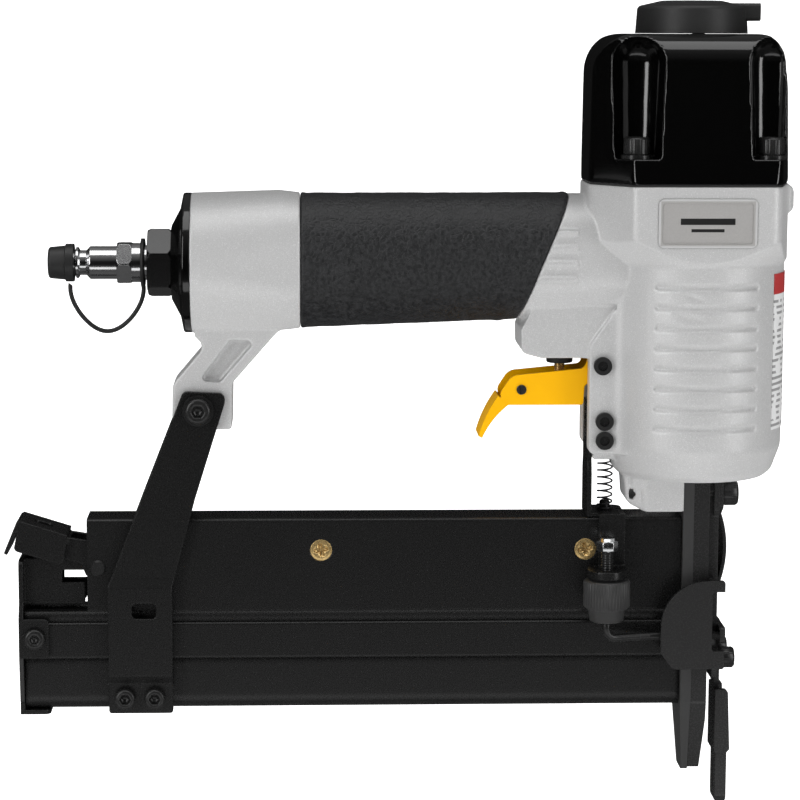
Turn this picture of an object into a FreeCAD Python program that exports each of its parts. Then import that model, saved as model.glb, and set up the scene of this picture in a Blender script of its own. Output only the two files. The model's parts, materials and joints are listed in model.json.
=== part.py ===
# Pneumatic brad nailer and stapler, made of separate parts.  Millimetres, +Z up.
# The origin lies on the driver axis, level with the tip of the safety contact.
# The handle and the air inlet point towards -X, the front of the tool towards +X.
import FreeCAD, Part
import math
import os

# ---- driving dimensions -------------------------------------------------

FIT = 0.05                 # radial running clearance
WASHER = 1.2               # thickness of the washers

# head
BARREL_R = 29.0
BARREL_Z = 111.3           # underside of the barrel
CHAMBER_R = 25.0           # air chamber around the sleeve
SEAT_R = 22.4              # lower seat of the sleeve
FLOOR_Z = 114.6            # inside floor of the barrel
FLANGE_Z = 206.0           # top face of the flange
FLANGE_HALF = 30.0
NECK_Z = 181.0             # where the flange starts to grow out of the barrel
CAP_SCREW_XY = (21.3, 22.0)
CAP_SCREW_MIDDLE = -0.8     # X of the middle of the screw pattern
CAP_SEAT_Z = 214.6         # foot of the flutes, where the washers lie
GASKET = 0.5
CAP_TOP = 253.5
CAP_BORE = 21.0            # bore of the head valve

# motor
BORE_R = 18.0
SLEEVE_R = 20.5
PISTON_TOP = 205.0
BLADE = (1.3, 5.6)         # thickness along X, width along Y
BLADE_TIP_Z = 88.5

# handle
HANDLE_Z = 180.0
GRIP_REAR_X = -127.8
GRIP_TOP_X = -38.8         # slanted front edge of the grip, at the top
GRIP_LOW_X = -60.8         # and at the bottom
GRIP_THICK = 2.6
END_X = -162.7             # rear face of the casting
END_R = 22.5

# trigger group
FORK_HALF = 13.0
PAD = 1.2                  # how far the fork stands proud of the web, on each side
FORK_X = -35.2
FORK_GAP = 8.0             # half of the slot for the trigger
PIVOT = (-31.0, 148.0)     # trigger pivot, X and Z
GUIDE_PINS = ((-30.2, 130.0), (-30.1, 123.8))
LEVER_PIN = (-56.4, 139.4)
PIN_R = 1.6
VALVE_X = -43.5
BOSS_Z = 150.3
STEM_R = 1.65

# safety
SPRING_X = -28.1
SPRING_Z = (98.9, 116.7)
KNOB_XY = (-28.9, -16.3)
ROD_R = 1.35
ROD_TURN_Z = 59.0

# nose, as layers along X
GUIDE_X = (-3.5, 0.0)
FRONT_X = (0.0, 5.1)
GUARD_X = (5.1, 6.6)
COVER_X = (6.6, 8.4)
SPRING_PLATE_X = (8.4, 9.6)
M5_BOLT_YZ = (6.0, 105.2)
NOSE_TOP = 111.1           # top of the plates in front of the guide
M4_BOLT_YZ = (7.6, 50.6)

# magazine
MAG_HALF = 8.0
MAG_X = (-217.4, -3.6)
COVER_REAR_X = -197.0
MAG_Z = (34.4, 67.0)
COVER_TOP_Z = 97.5
RAIL_Z = (51.4, 63.5)
RAIL_Y = (6.45, 9.0)
NAIL_HALF = 2.95           # half width of the fastener space
COVER_SCREWS = ((-121.2, 87.0), (-35.1, 87.0))
STRUT_Y = 9.2              # inner face of the strut plates at their ends
STRUT_THICK = 2.0
STRUT_TOP = (-160.6, 133.4)
STRUT_LOW = ((-184.9, 39.0), (-175.3, 39.0))
LATCH_PIN = (-193.5, 81.4)
DRAWER_SCREW = (-214.0, 58.6)
PUSHER_ROD_Z = 60.0

AXES = {
    "x": FreeCAD.Vector(1, 0, 0),
    "y": FreeCAD.Vector(0, 1, 0),
    "z": FreeCAD.Vector(0, 0, 1),
}


# ---- building blocks ----------------------------------------------------

def vec(x, y, z):
    return FreeCAD.Vector(x, y, z)


def block(x, y, z):
    """Box between two limits on each axis."""
    return Part.makeBox(x[1] - x[0], y[1] - y[0], z[1] - z[0], vec(x[0], y[0], z[0]))


def rod(axis, start, radius, length):
    """Cylinder that runs from start along +axis."""
    return Part.makeCylinder(radius, length, vec(*start), AXES[axis])


def cone(axis, start, radius, end_radius, length):
    return Part.makeCone(radius, end_radius, length, vec(*start), AXES[axis])


def tube(axis, start, outer, inner, length):
    return rod(axis, start, outer, length).cut(rod(axis, start, inner, length))


def ring(axis, centre, radius, wire):
    """O-ring of a mean radius and a wire radius."""
    return Part.makeTorus(radius, wire, vec(*centre), AXES[axis])


def cross_rod(xz, radius, half):
    """Cylinder across the tool, centred on Y = 0."""
    return rod("y", (xz[0], -half, xz[1]), radius, 2 * half)


def hexagon(axis, start, across_corners, length, turn=0.0):
    """Hexagonal prism; turn moves the first corner, in degrees."""
    corners = []
    for step in range(7):
        angle = math.radians(turn + 60 * step)
        a = across_corners / 2 * math.cos(angle)
        b = across_corners / 2 * math.sin(angle)
        flat = {"x": (0, a, b), "y": (a, 0, b), "z": (a, b, 0)}[axis]
        corners.append(vec(*start) + vec(*flat))
    return Part.Face(Part.makePolygon(corners)).extrude(AXES[axis] * length)


def rounded_wire(corners, place):
    """Closed wire through (a, b) or (a, b, radius) corners; place gives each its vector."""
    spots = [place(c[0], c[1]) for c in corners]
    radii = [c[2] if len(c) > 2 else 0.0 for c in corners]
    joints = []
    for i, spot in enumerate(spots):
        back = (spots[i - 1] - spot).normalize()
        ahead = (spots[(i + 1) % len(spots)] - spot).normalize()
        if radii[i] == 0.0:
            joints.append((spot, None, spot))
            continue
        half_angle = back.getAngle(ahead) / 2
        reach = radii[i] / math.tan(half_angle)
        inward = (back + ahead).normalize()
        middle = spot + inward * (radii[i] / math.sin(half_angle) - radii[i])
        joints.append((spot + back * reach, middle, spot + ahead * reach))
    edges = []
    for i, (start, middle, end) in enumerate(joints):
        if middle is not None:
            edges.append(Part.Arc(start, middle, end).toShape())
        following = joints[(i + 1) % len(joints)][0]
        if end.distanceToPoint(following) > 1e-6:
            edges.append(Part.makeLine(end, following))
    return Part.Wire(edges)


def side_plate(corners, y):
    """Outline in X and Z, extruded between two Y values."""
    face = Part.Face(rounded_wire(corners, lambda a, b: vec(a, y[0], b)))
    return face.extrude(vec(0, y[1] - y[0], 0))


def plan_plate(corners, z):
    """Outline in X and Y, extruded between two heights."""
    face = Part.Face(rounded_wire(corners, lambda a, b: vec(a, b, z[0])))
    return face.extrude(vec(0, 0, z[1] - z[0]))


def front_plate(corners, x):
    """Outline in Y and Z, extruded between two X values."""
    face = Part.Face(rounded_wire(corners, lambda a, b: vec(x[0], a, b)))
    return face.extrude(vec(x[1] - x[0], 0, 0))


def revolve(corners, axis="z", centre=(0, 0, 0)):
    """Turned part: corners are (radius, distance along the axis)."""
    if axis == "z":
        wire = rounded_wire(corners, lambda a, b: vec(centre[0] + a, centre[1], centre[2] + b))
    else:
        wire = rounded_wire(corners, lambda a, b: vec(centre[0] + b, centre[1], centre[2] + a))
    return Part.Face(wire).revolve(vec(*centre), AXES[axis], 360)


def corners_of(a, b, radius):
    """Rounded rectangle as four corners."""
    return [(a[0], b[0], radius), (a[1], b[0], radius), (a[1], b[1], radius), (a[0], b[1], radius)]


def mirror(shape):
    """The same shape on the other side of the tool."""
    return shape.mirror(vec(0, 0, 0), vec(0, 1, 0))


def both_sides(shape):
    return [shape, mirror(shape)]


def fuse(*shapes):
    return shapes[0].multiFuse(list(shapes[1:])).removeSplitter()


def cut(shape, *tools):
    return shape.cut(Part.makeCompound(list(tools))) if tools else shape


def group(*shapes):
    return Part.makeCompound(list(shapes))


def aimed_cylinder(start, direction, radius, length):
    return Part.makeCylinder(radius, length, vec(*start), direction)


def cap_screw(seat, direction, radius, length, head_radius, head_height):
    """Socket screw: seat is the point under its head, direction the way it is driven."""
    key = head_radius * 0.6
    head = aimed_cylinder(seat, direction * -1, head_radius, head_height)
    shank = aimed_cylinder(seat, direction, radius, length)
    top = vec(*seat) - direction * head_height
    socket = Part.makeCylinder(key, head_height * 0.55, top, direction)
    return fuse(head, shank).cut(socket)


def coil(radius, wire, pitch, height):
    """Compression spring along +Z from the origin; height counts the whole spring."""
    helix = Part.Wire(Part.makeHelix(pitch, height - 2 * wire, radius))
    section = Part.Wire(Part.makeCircle(wire, vec(radius, 0, 0), AXES["y"]))
    spring = helix.makePipeShell([section], True, True)
    spring.translate(vec(0, 0, wire))
    return spring


def bent_rod(points, radius):
    """Round wire through points, with a ball at each bend."""
    pieces = []
    for start, end in zip(points, points[1:]):
        run = vec(*end) - vec(*start)
        pieces.append(Part.makeCylinder(radius, run.Length, vec(*start), run))
    for bend in points[1:-1]:
        pieces.append(Part.makeSphere(radius, vec(*bend)))
    return fuse(*pieces)


# ---- head ---------------------------------------------------------------

def head_plan(inset):
    """Plan of flange and cap: square round the barrel, with cut-off corners front and rear."""
    wide, front, rear = FLANGE_HALF - inset, 29.2 - inset, -36.2 + inset
    return [
        (front, -6, 4), (22.8, -wide, 4), (-23.3, -wide, 3.5), (rear, -13, 6),
        (rear, 13, 6), (-23.3, wide, 3.5), (22.8, wide, 4), (front, 6, 4),
    ]


def corner_spots():
    """The four places of the cap screws."""
    x, y = CAP_SCREW_XY
    return [(CAP_SCREW_MIDDLE + sx * x, sy * y) for sx in (-1, 1) for sy in (-1, 1)]


def flange():
    prism = plan_plate(head_plan(0), (NECK_Z - 6, FLANGE_Z))
    rise = 30
    slope = cone("z", (0, 0, NECK_Z), BARREL_R, BARREL_R + 1.05 * rise, rise)
    return prism.common(slope)


def barrel():
    return revolve([
        (0, BARREL_Z), (23.8, BARREL_Z, 2), (26.2, BARREL_Z + 2.1, 2), (BARREL_R, BARREL_Z + 10, 6),
        (BARREL_R, FLANGE_Z), (0, FLANGE_Z),
    ])


def barrel_grooves():
    """Eight shallow grooves on each side of the barrel."""
    grooves = []
    for step in range(8):
        z = 129.1 + 6.45 * step
        grooves.append(side_plate(corners_of((-15.9, 17.2), (z - 0.9, z + 0.9), 0.85), (-31, 31)))
    core = rod("z", (0, 0, 120), BARREL_R - 0.9, 70)
    return group(*grooves).cut(core)


def nameplate_recess(depth):
    return side_plate(corners_of((-16.0, 15.2), (187.0, 202.5), 2), (-FLANGE_HALF, -FLANGE_HALF + depth))


def grip_section(x, trim):
    """Section of the handle at x, trimmed all round."""
    share = (x - GRIP_REAR_X) / (GRIP_TOP_X - GRIP_REAR_X)
    low = 159.4 + 3.3 * share + trim
    high = 202.4 + 0.2 * share - trim
    half = 18.6 - 0.6 * share - trim
    radius = 15.5 - trim
    return rounded_wire(corners_of((-half, half), (low, high), radius), lambda a, b: vec(x, a, b))


def handle_bar(x, trim):
    return Part.makeLoft([grip_section(x[0], trim), grip_section(x[1], trim)], True)


def ahead_of_grip():
    """Everything in front of the slanted front edge of the grip."""
    start = vec(GRIP_TOP_X + 3.0, -40, 215)
    middle = vec(-50.6, -40, 181)
    end = vec(GRIP_LOW_X - 2.0, -40, 150)
    edge = Part.Arc(start, middle, end).toShape()
    rest = Part.makePolygon([end, vec(20, -40, 150), vec(20, -40, 215), start])
    return Part.Face(Part.Wire([edge] + rest.Edges)).extrude(vec(0, 80, 0))


def rear_section():
    """Swelling behind the grip, from the handle section to the round end face."""
    shapes = []
    for x, half, low, high, radius in ((END_X, END_R, 157.5, 202.5, 22.3), (-134.4, 20.0, 158.4, 203.3, 17.5),
                                       (GRIP_REAR_X, 18.8, 159.2, 202.5, 15.7)):
        outline = corners_of((-half, half), (low, high), radius)
        shapes.append(rounded_wire(outline, lambda a, b, x=x: vec(x, a, b)))
    return fuse(Part.makeLoft(shapes[:2], True), Part.makeLoft(shapes[1:], True))


def rear_arm():
    """Cast arm that carries the struts."""
    outline = [
        (-161.5, 160.0), (-161.6, 157.1), (-158.4, 153.8, 3), (-168.8, 141.5, 4), (-169.1, 127.0, 1),
        (-149.9, 126.9, 1), (-149.6, 142.0, 3), (-135.0, 158.6, 5), (-127.8, 161.5),
        (-127.8, 170), (-161.5, 170),
    ]
    arm = side_plate(outline, (-STRUT_Y, STRUT_Y))
    pocket = [(-150.2, 156.0, 1.2), (-142.2, 155.4, 1.2), (-153.6, 142.2, 1.2), (-160.4, 142.6, 1.2)]
    near = side_plate(pocket, (-STRUT_Y, -STRUT_Y + 3))
    return cut(arm, *both_sides(near))


def trigger_fork():
    """Fork with the valve boss above it."""
    web = [
        (-15, 119.3), (FORK_X, 119.3, 2), (FORK_X, BOSS_Z), (-50.5, BOSS_Z, 5), (-57.0, 152.0, 2.5),
        (-57.2, 159.5), (-55.0, 163.5), (-50.0, 178), (-15, 178),
    ]
    pad = [(FORK_X, 119.3, 2), (-15, 119.3), (-15, 166), (-27, 166), (FORK_X, 154.5, 4)]
    seat = block((-33.1, -24), (-9, 9), (SPRING_Z[1], 119.4))
    return fuse(
        side_plate(web, (-FORK_HALF, FORK_HALF)),
        side_plate(pad, (-FORK_HALF - PAD, FORK_HALF + PAD)),
        seat,
        *both_sides(fork_blend()),
    )


def fork_blend():
    """Hollow curve between the side of the fork and the barrel."""
    radius, face = 6.5, FORK_HALF + PAD
    reach = BARREL_R + radius
    x, y = -math.sqrt(reach ** 2 - (face + radius) ** 2), -(face + radius)
    share = BARREL_R / reach
    wedge = plan_plate([(x, -face), (-18, -face), (x * share, y * share)], (119.3, 170))
    heads = [rod("y", (pin[0], 2 * y, pin[1]), 3.0, -face - 2 * y) for pin in (PIVOT,) + GUIDE_PINS]
    return cut(wedge, rod("z", (x, y, 119), radius, 52), *heads)


def nose_lug():
    """Block under the barrel that carries the nose, with chamfered rear corners."""
    outline = [
        (-3.5, 118), (-3.5, 99.6), (-16.0, 99.6, 5), (-22.2, 102.5, 4), (-22.6, 109.0, 4), (-25.0, 118),
    ]
    plan = [(-3.5, -11), (-15.6, -11, 1), (-25.0, -5.5, 2), (-25.0, 5.5, 2), (-15.6, 11, 1), (-3.5, 11)]
    lug = side_plate(outline, (-12, 12)).common(plan_plate(plan, (95, 119)))
    slots = [side_plate(corners_of((x - 0.5, x + 0.5), (z - 1.7, z + 1.7), 0.45), (-12, -6.5))
             for x, z in ((-17.6, 104.6), (-20.8, 109.4))]
    return cut(lug, *slots)


def handle_ribs():
    """Four short ribs on each side between grip and barrel."""
    ribs = []
    for step, length in enumerate((6, 8, 10, 12)):
        z = 191.0 - 5 * step
        ribs.append(side_plate(corners_of((-41.5 - length, -39.5), (z - 0.8, z + 0.8), 0.7), (-18.7, 18.7)))
    return group(*ribs)


def housing_hollows():
    """Air chambers, bores and threaded holes of the casting."""
    x, z = M5_BOLT_YZ
    hollows = [
        rod("z", (0, 0, 120), CHAMBER_R, FLANGE_Z - 120),
        rod("z", (0, 0, FLOOR_Z), SEAT_R + FIT, 8),
        rod("z", (0, 0, 98), 3.4, FLOOR_Z - 97),
        rod("z", (SPRING_X, 0, 100), 3.6, SPRING_Z[1] - 100),
        front_plate(corners_of((-11, 11), (168, 195), 9), (-156, -20)),
        rod("x", (END_X, 0, HANDLE_Z), 17.05, 13),
        rod("z", (VALVE_X, 0, BOSS_Z), 6.95, 22),
        block((FORK_X - 1, -27.4), (-FORK_GAP, FORK_GAP), (119.4, 152.4)),
        block((FORK_X - 1, -33.1), (-FORK_GAP, FORK_GAP), (115, 152.4)),
    ]
    for pin in (PIVOT,) + GUIDE_PINS:
        hollows.append(cross_rod(pin, PIN_R, 16))
    hollows.append(cross_rod(STRUT_TOP, 2.55, 12))
    for side in (-1, 1):
        hollows.append(rod("x", (-21, side * x, z), 2.55, 22))
    for spot in corner_spots():
        hollows.append(rod("z", (spot[0], spot[1], 186), 2.55, 21))
    return hollows


def housing():
    front = ahead_of_grip()
    shoulder = handle_bar((-62, -20), 0.3).common(front)
    outside = fuse(
        barrel(), flange(), handle_bar((END_X, -20), GRIP_THICK), shoulder, rear_section(),
        rear_arm(), trigger_fork(), nose_lug(),
        side_plate(corners_of((25, 31.0), (196.5, 205.5), 2), (-6, 6)),
    )
    outside = fuse(outside, *handle_ribs().common(front).Solids)
    return cut(outside, barrel_grooves(), nameplate_recess(0.8), *housing_hollows())


def nameplate():
    face = -FLANGE_HALF - 0.4
    plate = side_plate(corners_of((-15.9, 15.1), (187.1, 202.4), 1.9), (face, face + 1.2))
    field = side_plate(corners_of((-14.7, 13.9), (188.3, 201.2), 1.2), (face, face + 0.3))
    return plate.cut(field)


def front_label():
    sheet = tube("z", (0, 0, 127.6), BARREL_R + 0.25, BARREL_R, 50.2)
    wedge = plan_plate([(0, 0), (40, -30.5), (40, 30.5)], (120, 190))
    return sheet.common(wedge)


def cylinder_cap():
    base = FLANGE_Z + GASKET
    side = [(-36.1, base), (-35.2, CAP_TOP, 12.5), (24.9, CAP_TOP, 9.5), (29.1, base)]
    front = [(-29.6, base), (-26.6, CAP_TOP, 9.5), (26.6, CAP_TOP, 9.5), (29.6, base)]
    body = plan_plate(head_plan(0.2), (base, CAP_TOP + 1))
    body = body.common(side_plate(side, (-40, 40))).common(front_plate(front, (-50, 50)))
    tools = [cap_flute(x, y) for x, y in corner_spots()]
    for x, y in corner_spots():
        tools.append(rod("z", (x, y, base - 1), 2.55, 12))
    tools.append(rod("z", (0, 0, base), CHAMBER_R, 7))
    tools.append(rod("z", (0, 0, base), CAP_BORE, 244 - base))
    tools += exhaust_holes()
    body = cut(body, *tools)
    chimney = tube("z", (0, 0, 227.2), 12.0, 8.6, 17.8)
    post = rod("z", (0, 0, 232), 4.4, 13)
    hole = rod("z", (0, 0, 231), 2.05, 30)
    return fuse(body, chimney, post).cut(hole)


def cap_flute(x, y):
    """Upright channel round one cap screw, wider and domed on top, open to its side of the tool."""
    high, radius, arch = 244.6, 6.8, 8.0
    levels = [(CAP_SEAT_Z, radius)]
    for step in range(6):
        angle = math.radians(16 * step)
        levels.append((high + arch * math.sin(angle), arch * math.cos(angle)))
    wires = []
    for z, r in levels:
        back = Part.Arc(vec(x - r, y, z), vec(x, y - math.copysign(r, y), z), vec(x + r, y, z)).toShape()
        corners = [vec(x + r, y, z), vec(x + r, 2 * y, z), vec(x - r, 2 * y, z), vec(x - r, y, z)]
        rest = Part.makePolygon(corners)
        wires.append(Part.Wire([back] + rest.Edges))
    return Part.makeLoft(wires, True, True)


def exhaust_holes():
    holes = []
    for step in range(6):
        angle = math.radians(60 * step + 30)
        holes.append(rod("z", (6.5 * math.cos(angle), 6.5 * math.sin(angle), 240), 1.8, 20))
    return holes


def cap_gasket():
    sheet = plan_plate(head_plan(0.6), (FLANGE_Z, FLANGE_Z + GASKET))
    holes = [rod("z", (x, y, FLANGE_Z - 1), 2.7, 3) for x, y in corner_spots()]
    return cut(sheet, rod("z", (0, 0, FLANGE_Z - 1), CHAMBER_R + 0.5, 3), *holes)


def cap_screws():
    seat = CAP_SEAT_Z + WASHER
    return group(*[cap_screw((x, y, seat), vec(0, 0, -1), 2.5, 28, 4.25, 5.6) for x, y in corner_spots()])


def washers():
    """Washers under the cap screws, the strut screws and the lower nose bolts."""
    pieces = [tube("z", (x, y, CAP_SEAT_Z), 5.0, 2.6, WASHER) for x, y in corner_spots()]
    x, z = STRUT_TOP
    face = -STRUT_Y - STRUT_THICK
    pieces += both_sides(tube("y", (x, face - WASHER, z), 5.0, 2.6, WASHER))
    y, z = M4_BOLT_YZ
    pieces += both_sides(tube("x", (COVER_X[1], -y, z), 3.85, 2.1, WASHER))
    return group(*pieces)


def exhaust_deflector():
    """Turnable cup over the exhaust holes, with its outlet on the front."""
    low, side, top = CAP_TOP + 0.1, 262.2, 264.0
    shift = -2.3
    shell = revolve([(0, low), (18.0, low), (17.4, side, 1.6), (9.5, top, 6), (0, top)], centre=(shift, 0, 0))
    spout = front_plate(corners_of((-7.0, 7.0), (257.6, 263.2), 1.2), (6, 18.8))
    hollow = rod("z", (shift, 0, low), 15.9, 6.4)
    mouth = front_plate(corners_of((-6.1, 6.1), (258.4, 259.9), 0.6), (4, 22))
    boss = tube("z", (0, 0, low), 4.2, 2.1, 7)
    seat = rod("z", (0, 0, 261.5), 3.9, 4)
    hole = rod("z", (0, 0, low - 1), 2.1, 12)
    return cut(fuse(cut(fuse(shell, spout), hollow, mouth), boss), seat, hole)


def deflector_screw():
    return cap_screw((0, 0, 261.5), vec(0, 0, -1), 2.0, 27, 3.5, 2.1)


# ---- motor --------------------------------------------------------------

def head_valve():
    """Ring valve that seals on the sleeve and slides in the cap."""
    low, high = FLANGE_Z + GASKET, 222.0
    groove_z = 216.5
    outer = CAP_BORE - FIT
    body = revolve([
        (8.6, low), (outer, low), (outer, groove_z), (outer - 1.5, groove_z), (outer - 1.5, groove_z + 2),
        (outer, groove_z + 2), (outer, high), (8.6, high),
    ])
    spring_seat = tube("z", (0, 0, 219), 18.6, 13.0, 4)
    return body.cut(spring_seat)


def head_valve_oring():
    return ring("z", (0, 0, 217.5), CAP_BORE - FIT - 0.7, 0.7)


def head_valve_spring():
    spring = coil(15.8, 1.0, 5.2, 25)
    spring.translate(vec(0, 0, 219))
    return spring


def cylinder_sleeve():
    """Cylinder liner with return holes, a sealed foot and a ported top flange."""
    foot = FLOOR_Z + 1
    body = revolve([
        (BORE_R, foot), (SEAT_R, foot), (SEAT_R, foot + 2), (20.9, foot + 2), (20.9, foot + 4),
        (SEAT_R, foot + 4), (SEAT_R, foot + 6),
        (SLEEVE_R, foot + 7), (SLEEVE_R, 200), (24.9, 200.6), (24.9, 204), (21.5, FLANGE_Z),
        (BORE_R, FLANGE_Z),
    ])
    tools = []
    for step in range(12):
        angle = 30 * step
        port = rod("z", (22.7, 0, 199), 1.6, 8)
        hole = rod("x", (15, 0, 128), 1.2, 8)
        for tool in (port, hole):
            tool.rotate(vec(0, 0, 0), AXES["z"], angle)
            tools.append(tool)
    return cut(body, *tools)


def cylinder_orings():
    return ring("z", (0, 0, FLOOR_Z + 4), 21.6, 0.7)


def piston():
    low, groove_z = PISTON_TOP - 8, PISTON_TOP - 5
    body = revolve([
        (0, low), (17.2, low), (17.9, low + 0.8), (17.9, groove_z), (16.4, groove_z), (16.4, groove_z + 2),
        (17.9, groove_z + 2), (17.9, PISTON_TOP, 0.6), (0, PISTON_TOP),
    ])
    return body.cut(blade_slot(low - 1, low + 5, 0.0))


def piston_oring():
    return ring("z", (0, 0, PISTON_TOP - 4), 17.15, 0.75)


def blade_slot(low, high, gap):
    thick, wide = BLADE[0] / 2 + gap, BLADE[1] / 2 + gap
    return block((-thick, thick), (-wide, wide), (low, high))


def driver_blade():
    return blade_slot(BLADE_TIP_Z, PISTON_TOP - 3, 0.0)


def bumper():
    return revolve([(5.5, FLOOR_Z), (17.6, FLOOR_Z, 1), (17.6, 119.5, 2), (13, 120.9), (5.5, 120.9)])


# ---- handle and inlet ---------------------------------------------------

def handle_grip():
    outer = handle_bar((GRIP_REAR_X, -30), 0.0)
    core = handle_bar((GRIP_REAR_X - 5, -20), GRIP_THICK - 0.1)
    ahead = ahead_of_grip()
    return outer.cut(core).cut(ahead)


def end_cap():
    """Rear cover with a spigot, an O-ring groove and the seat of the hexagon bushing."""
    body = revolve([
        (0, -156), (15.6, -156), (15.6, -158), (17.0, -158), (17.0, END_X), (END_R, END_X),
        (END_R, END_X - 2.4, 0.8), (17.5, END_X - 3.4), (12.0, -169.0), (0, -169.0),
    ], "x", (0, 0, HANDLE_Z))
    return cut(body, rod("x", (-180, 0, HANDLE_Z), 8.0, 40))


def end_cap_oring():
    return ring("x", (-157, 0, HANDLE_Z), 16.3, 0.68)


def inlet_bushing():
    nut = hexagon("x", (-176.7, 0, HANDLE_Z), 22.5, 7.7, 40)
    limit = revolve([(0, -176.7), (10.4, -176.7), (11.4, -175.4), (11.4, -170.2), (10.4, -169), (0, -169)],
                    "x", (0, 0, HANDLE_Z))
    thread = rod("x", (-169, 0, HANDLE_Z), 7.95, 11)
    return cut(fuse(nut.common(limit), thread), rod("x", (-180, 0, HANDLE_Z), 5.6, 25))


def air_plug():
    """Quick plug: thread, hexagon, cylinder, locking groove and tip."""
    turned = revolve([
        (0, -168.5), (5.55, -168.5), (5.55, -178.0), (6.3, -178.0), (6.3, -181.7), (5.3, -181.7),
        (5.3, -195.2, 0.4), (4.0, -196.4), (4.0, -198.4), (5.0, -198.9), (5.0, -199.6), (3.9, -200.1),
        (3.9, -207.0, 0.6), (0, -207.0),
    ], "x", (0, 0, HANDLE_Z))
    nut = hexagon("x", (-186.5, 0, HANDLE_Z), 14.6, 4.8)
    limit = revolve([(0, -186.5), (6.6, -186.5), (7.2, -185.7), (7.2, -182.5), (6.6, -181.7), (0, -181.7)],
                    "x", (0, 0, HANDLE_Z))
    return cut(fuse(turned, nut.common(limit)), rod("x", (-208, 0, HANDLE_Z), 2.6, 42))


def dust_cap():
    return revolve([
        (0, -208.6), (5.0, -208.6, 1), (5.5, -203.2), (6.1, -203.0), (6.1, -200.4), (3.95, -200.4),
        (3.95, -207.1), (0, -207.1),
    ], "x", (0, 0, HANDLE_Z))


def dust_cap_strap():
    """Rubber loop from the plug's thread to the dust cap."""
    collar = tube("x", (-178.0, 0, HANDLE_Z), 7.8, 6.35, 1.2)
    collar.translate(vec(-0.9, 0, 0))
    path = Part.BSplineCurve()
    low = HANDLE_Z - 7.2
    path.interpolate([
        vec(-178.3, 0, low), vec(-180.9, 0, 164.0), vec(-190.2, 0, 157.8), vec(-198.2, 0, 163.0),
        vec(-201.7, 0, HANDLE_Z - 7.0),
    ])
    section = Part.Wire(Part.makeCircle(0.8, vec(-178.3, 0, low), vec(-0.35, 0, -1)))
    loop = Part.Wire(path.toShape()).makePipeShell([section], True, True)
    return fuse(collar, loop)


# ---- trigger ------------------------------------------------------------

def trigger():
    """Bent sheet: two cheeks, a web below and a curved finger hook."""
    cheek = [
        (-62.8, 134.4, 1.5), (-36.3, 134.4, 1), (-36.0, 141.0, 1.5), (-28.4, 143.0, 2.5), (-28.0, 151.0, 2.6),
        (-34.2, 151.0, 2.6), (-36.3, 146.3, 2), (-59.6, 144.0, 4.5), (-63.2, 138.5, 3),
    ]
    near = side_plate(cheek, (-7.2, -6.0))
    web = side_plate([(-63.2, 134.4), (-38.5, 134.4), (-38.5, 135.6), (-63.2, 135.6)], (-7.2, 7.2))
    arc_out = Part.Arc(vec(-63.9, -7.2, 137.4), vec(-67.6, -7.2, 131.2), vec(-70.2, -7.2, 124.2)).toShape()
    arc_in = Part.Arc(vec(-69.0, -7.2, 123.6), vec(-65.4, -7.2, 129.6), vec(-60.6, -7.2, 134.4)).toShape()
    ends = [Part.makeLine(vec(-70.2, -7.2, 124.2), vec(-69.0, -7.2, 123.6)),
            Part.makeLine(vec(-60.6, -7.2, 134.4), vec(-63.9, -7.2, 137.4))]
    hook = Part.Face(Part.Wire([arc_out, ends[0], arc_in, ends[1]])).extrude(vec(0, 14.4, 0))
    body = fuse(near, mirror(near), web, hook)
    return cut(body, cross_rod(PIVOT, PIN_R + FIT, 10), cross_rod(LEVER_PIN, 1.0, 10))


def trigger_lever():
    """Inner lever that pushes the valve stem."""
    x, z = LEVER_PIN
    bar = side_plate([(x, z - 1.0), (-33.6, 141.3, 0.5), (-33.6, 143.0, 0.5), (x, z + 1.3)], (-4.0, 4.0))
    eye = cross_rod(LEVER_PIN, 2.6, 5.6)
    return fuse(bar, eye).cut(cross_rod(LEVER_PIN, 1.0 + FIT, 10))


def lever_pin():
    heads = both_sides(rod("y", (LEVER_PIN[0], -7.6, LEVER_PIN[1]), 1.6, 0.4))
    return fuse(cross_rod(LEVER_PIN, 1.0, 7.2), *heads)


def cross_pins():
    half = FORK_HALF + 1.9
    return group(*[cross_rod(pin, PIN_R, half) for pin in (PIVOT,) + GUIDE_PINS])


def pin_grommets():
    """Rubber collars that hold the cross pins on both sides of the fork."""
    pieces = []
    outer = FORK_HALF + 1.2
    for x, z in (PIVOT,) + GUIDE_PINS:
        collar = tube("y", (x, -outer - 1.6, z), 2.9, PIN_R, 1.6)
        pieces += both_sides(collar)
    return group(*pieces)


def valve_bushing():
    body = revolve([
        (STEM_R + FIT, BOSS_Z - 2.8), (4.3, BOSS_Z - 2.8, 0.5), (4.3, BOSS_Z), (6.9, BOSS_Z), (6.9, 164),
        (3.6, 164), (3.6, 153), (STEM_R + FIT, 153),
    ], centre=(VALVE_X, 0, 0))
    return body


def valve_stem():
    return revolve([(0, 144.0), (STEM_R, 144.0, 0.5), (STEM_R, 153.2), (3.5, 153.2), (3.5, 155), (1.2, 155.2),
                    (1.2, 160), (0, 160)], centre=(VALVE_X, 0, 0))


def valve_spring():
    spring = coil(2.6, 0.4, 1.9, 8.6)
    spring.translate(vec(VALVE_X, 0, 155.3))
    return spring


# ---- safety -------------------------------------------------------------

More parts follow.
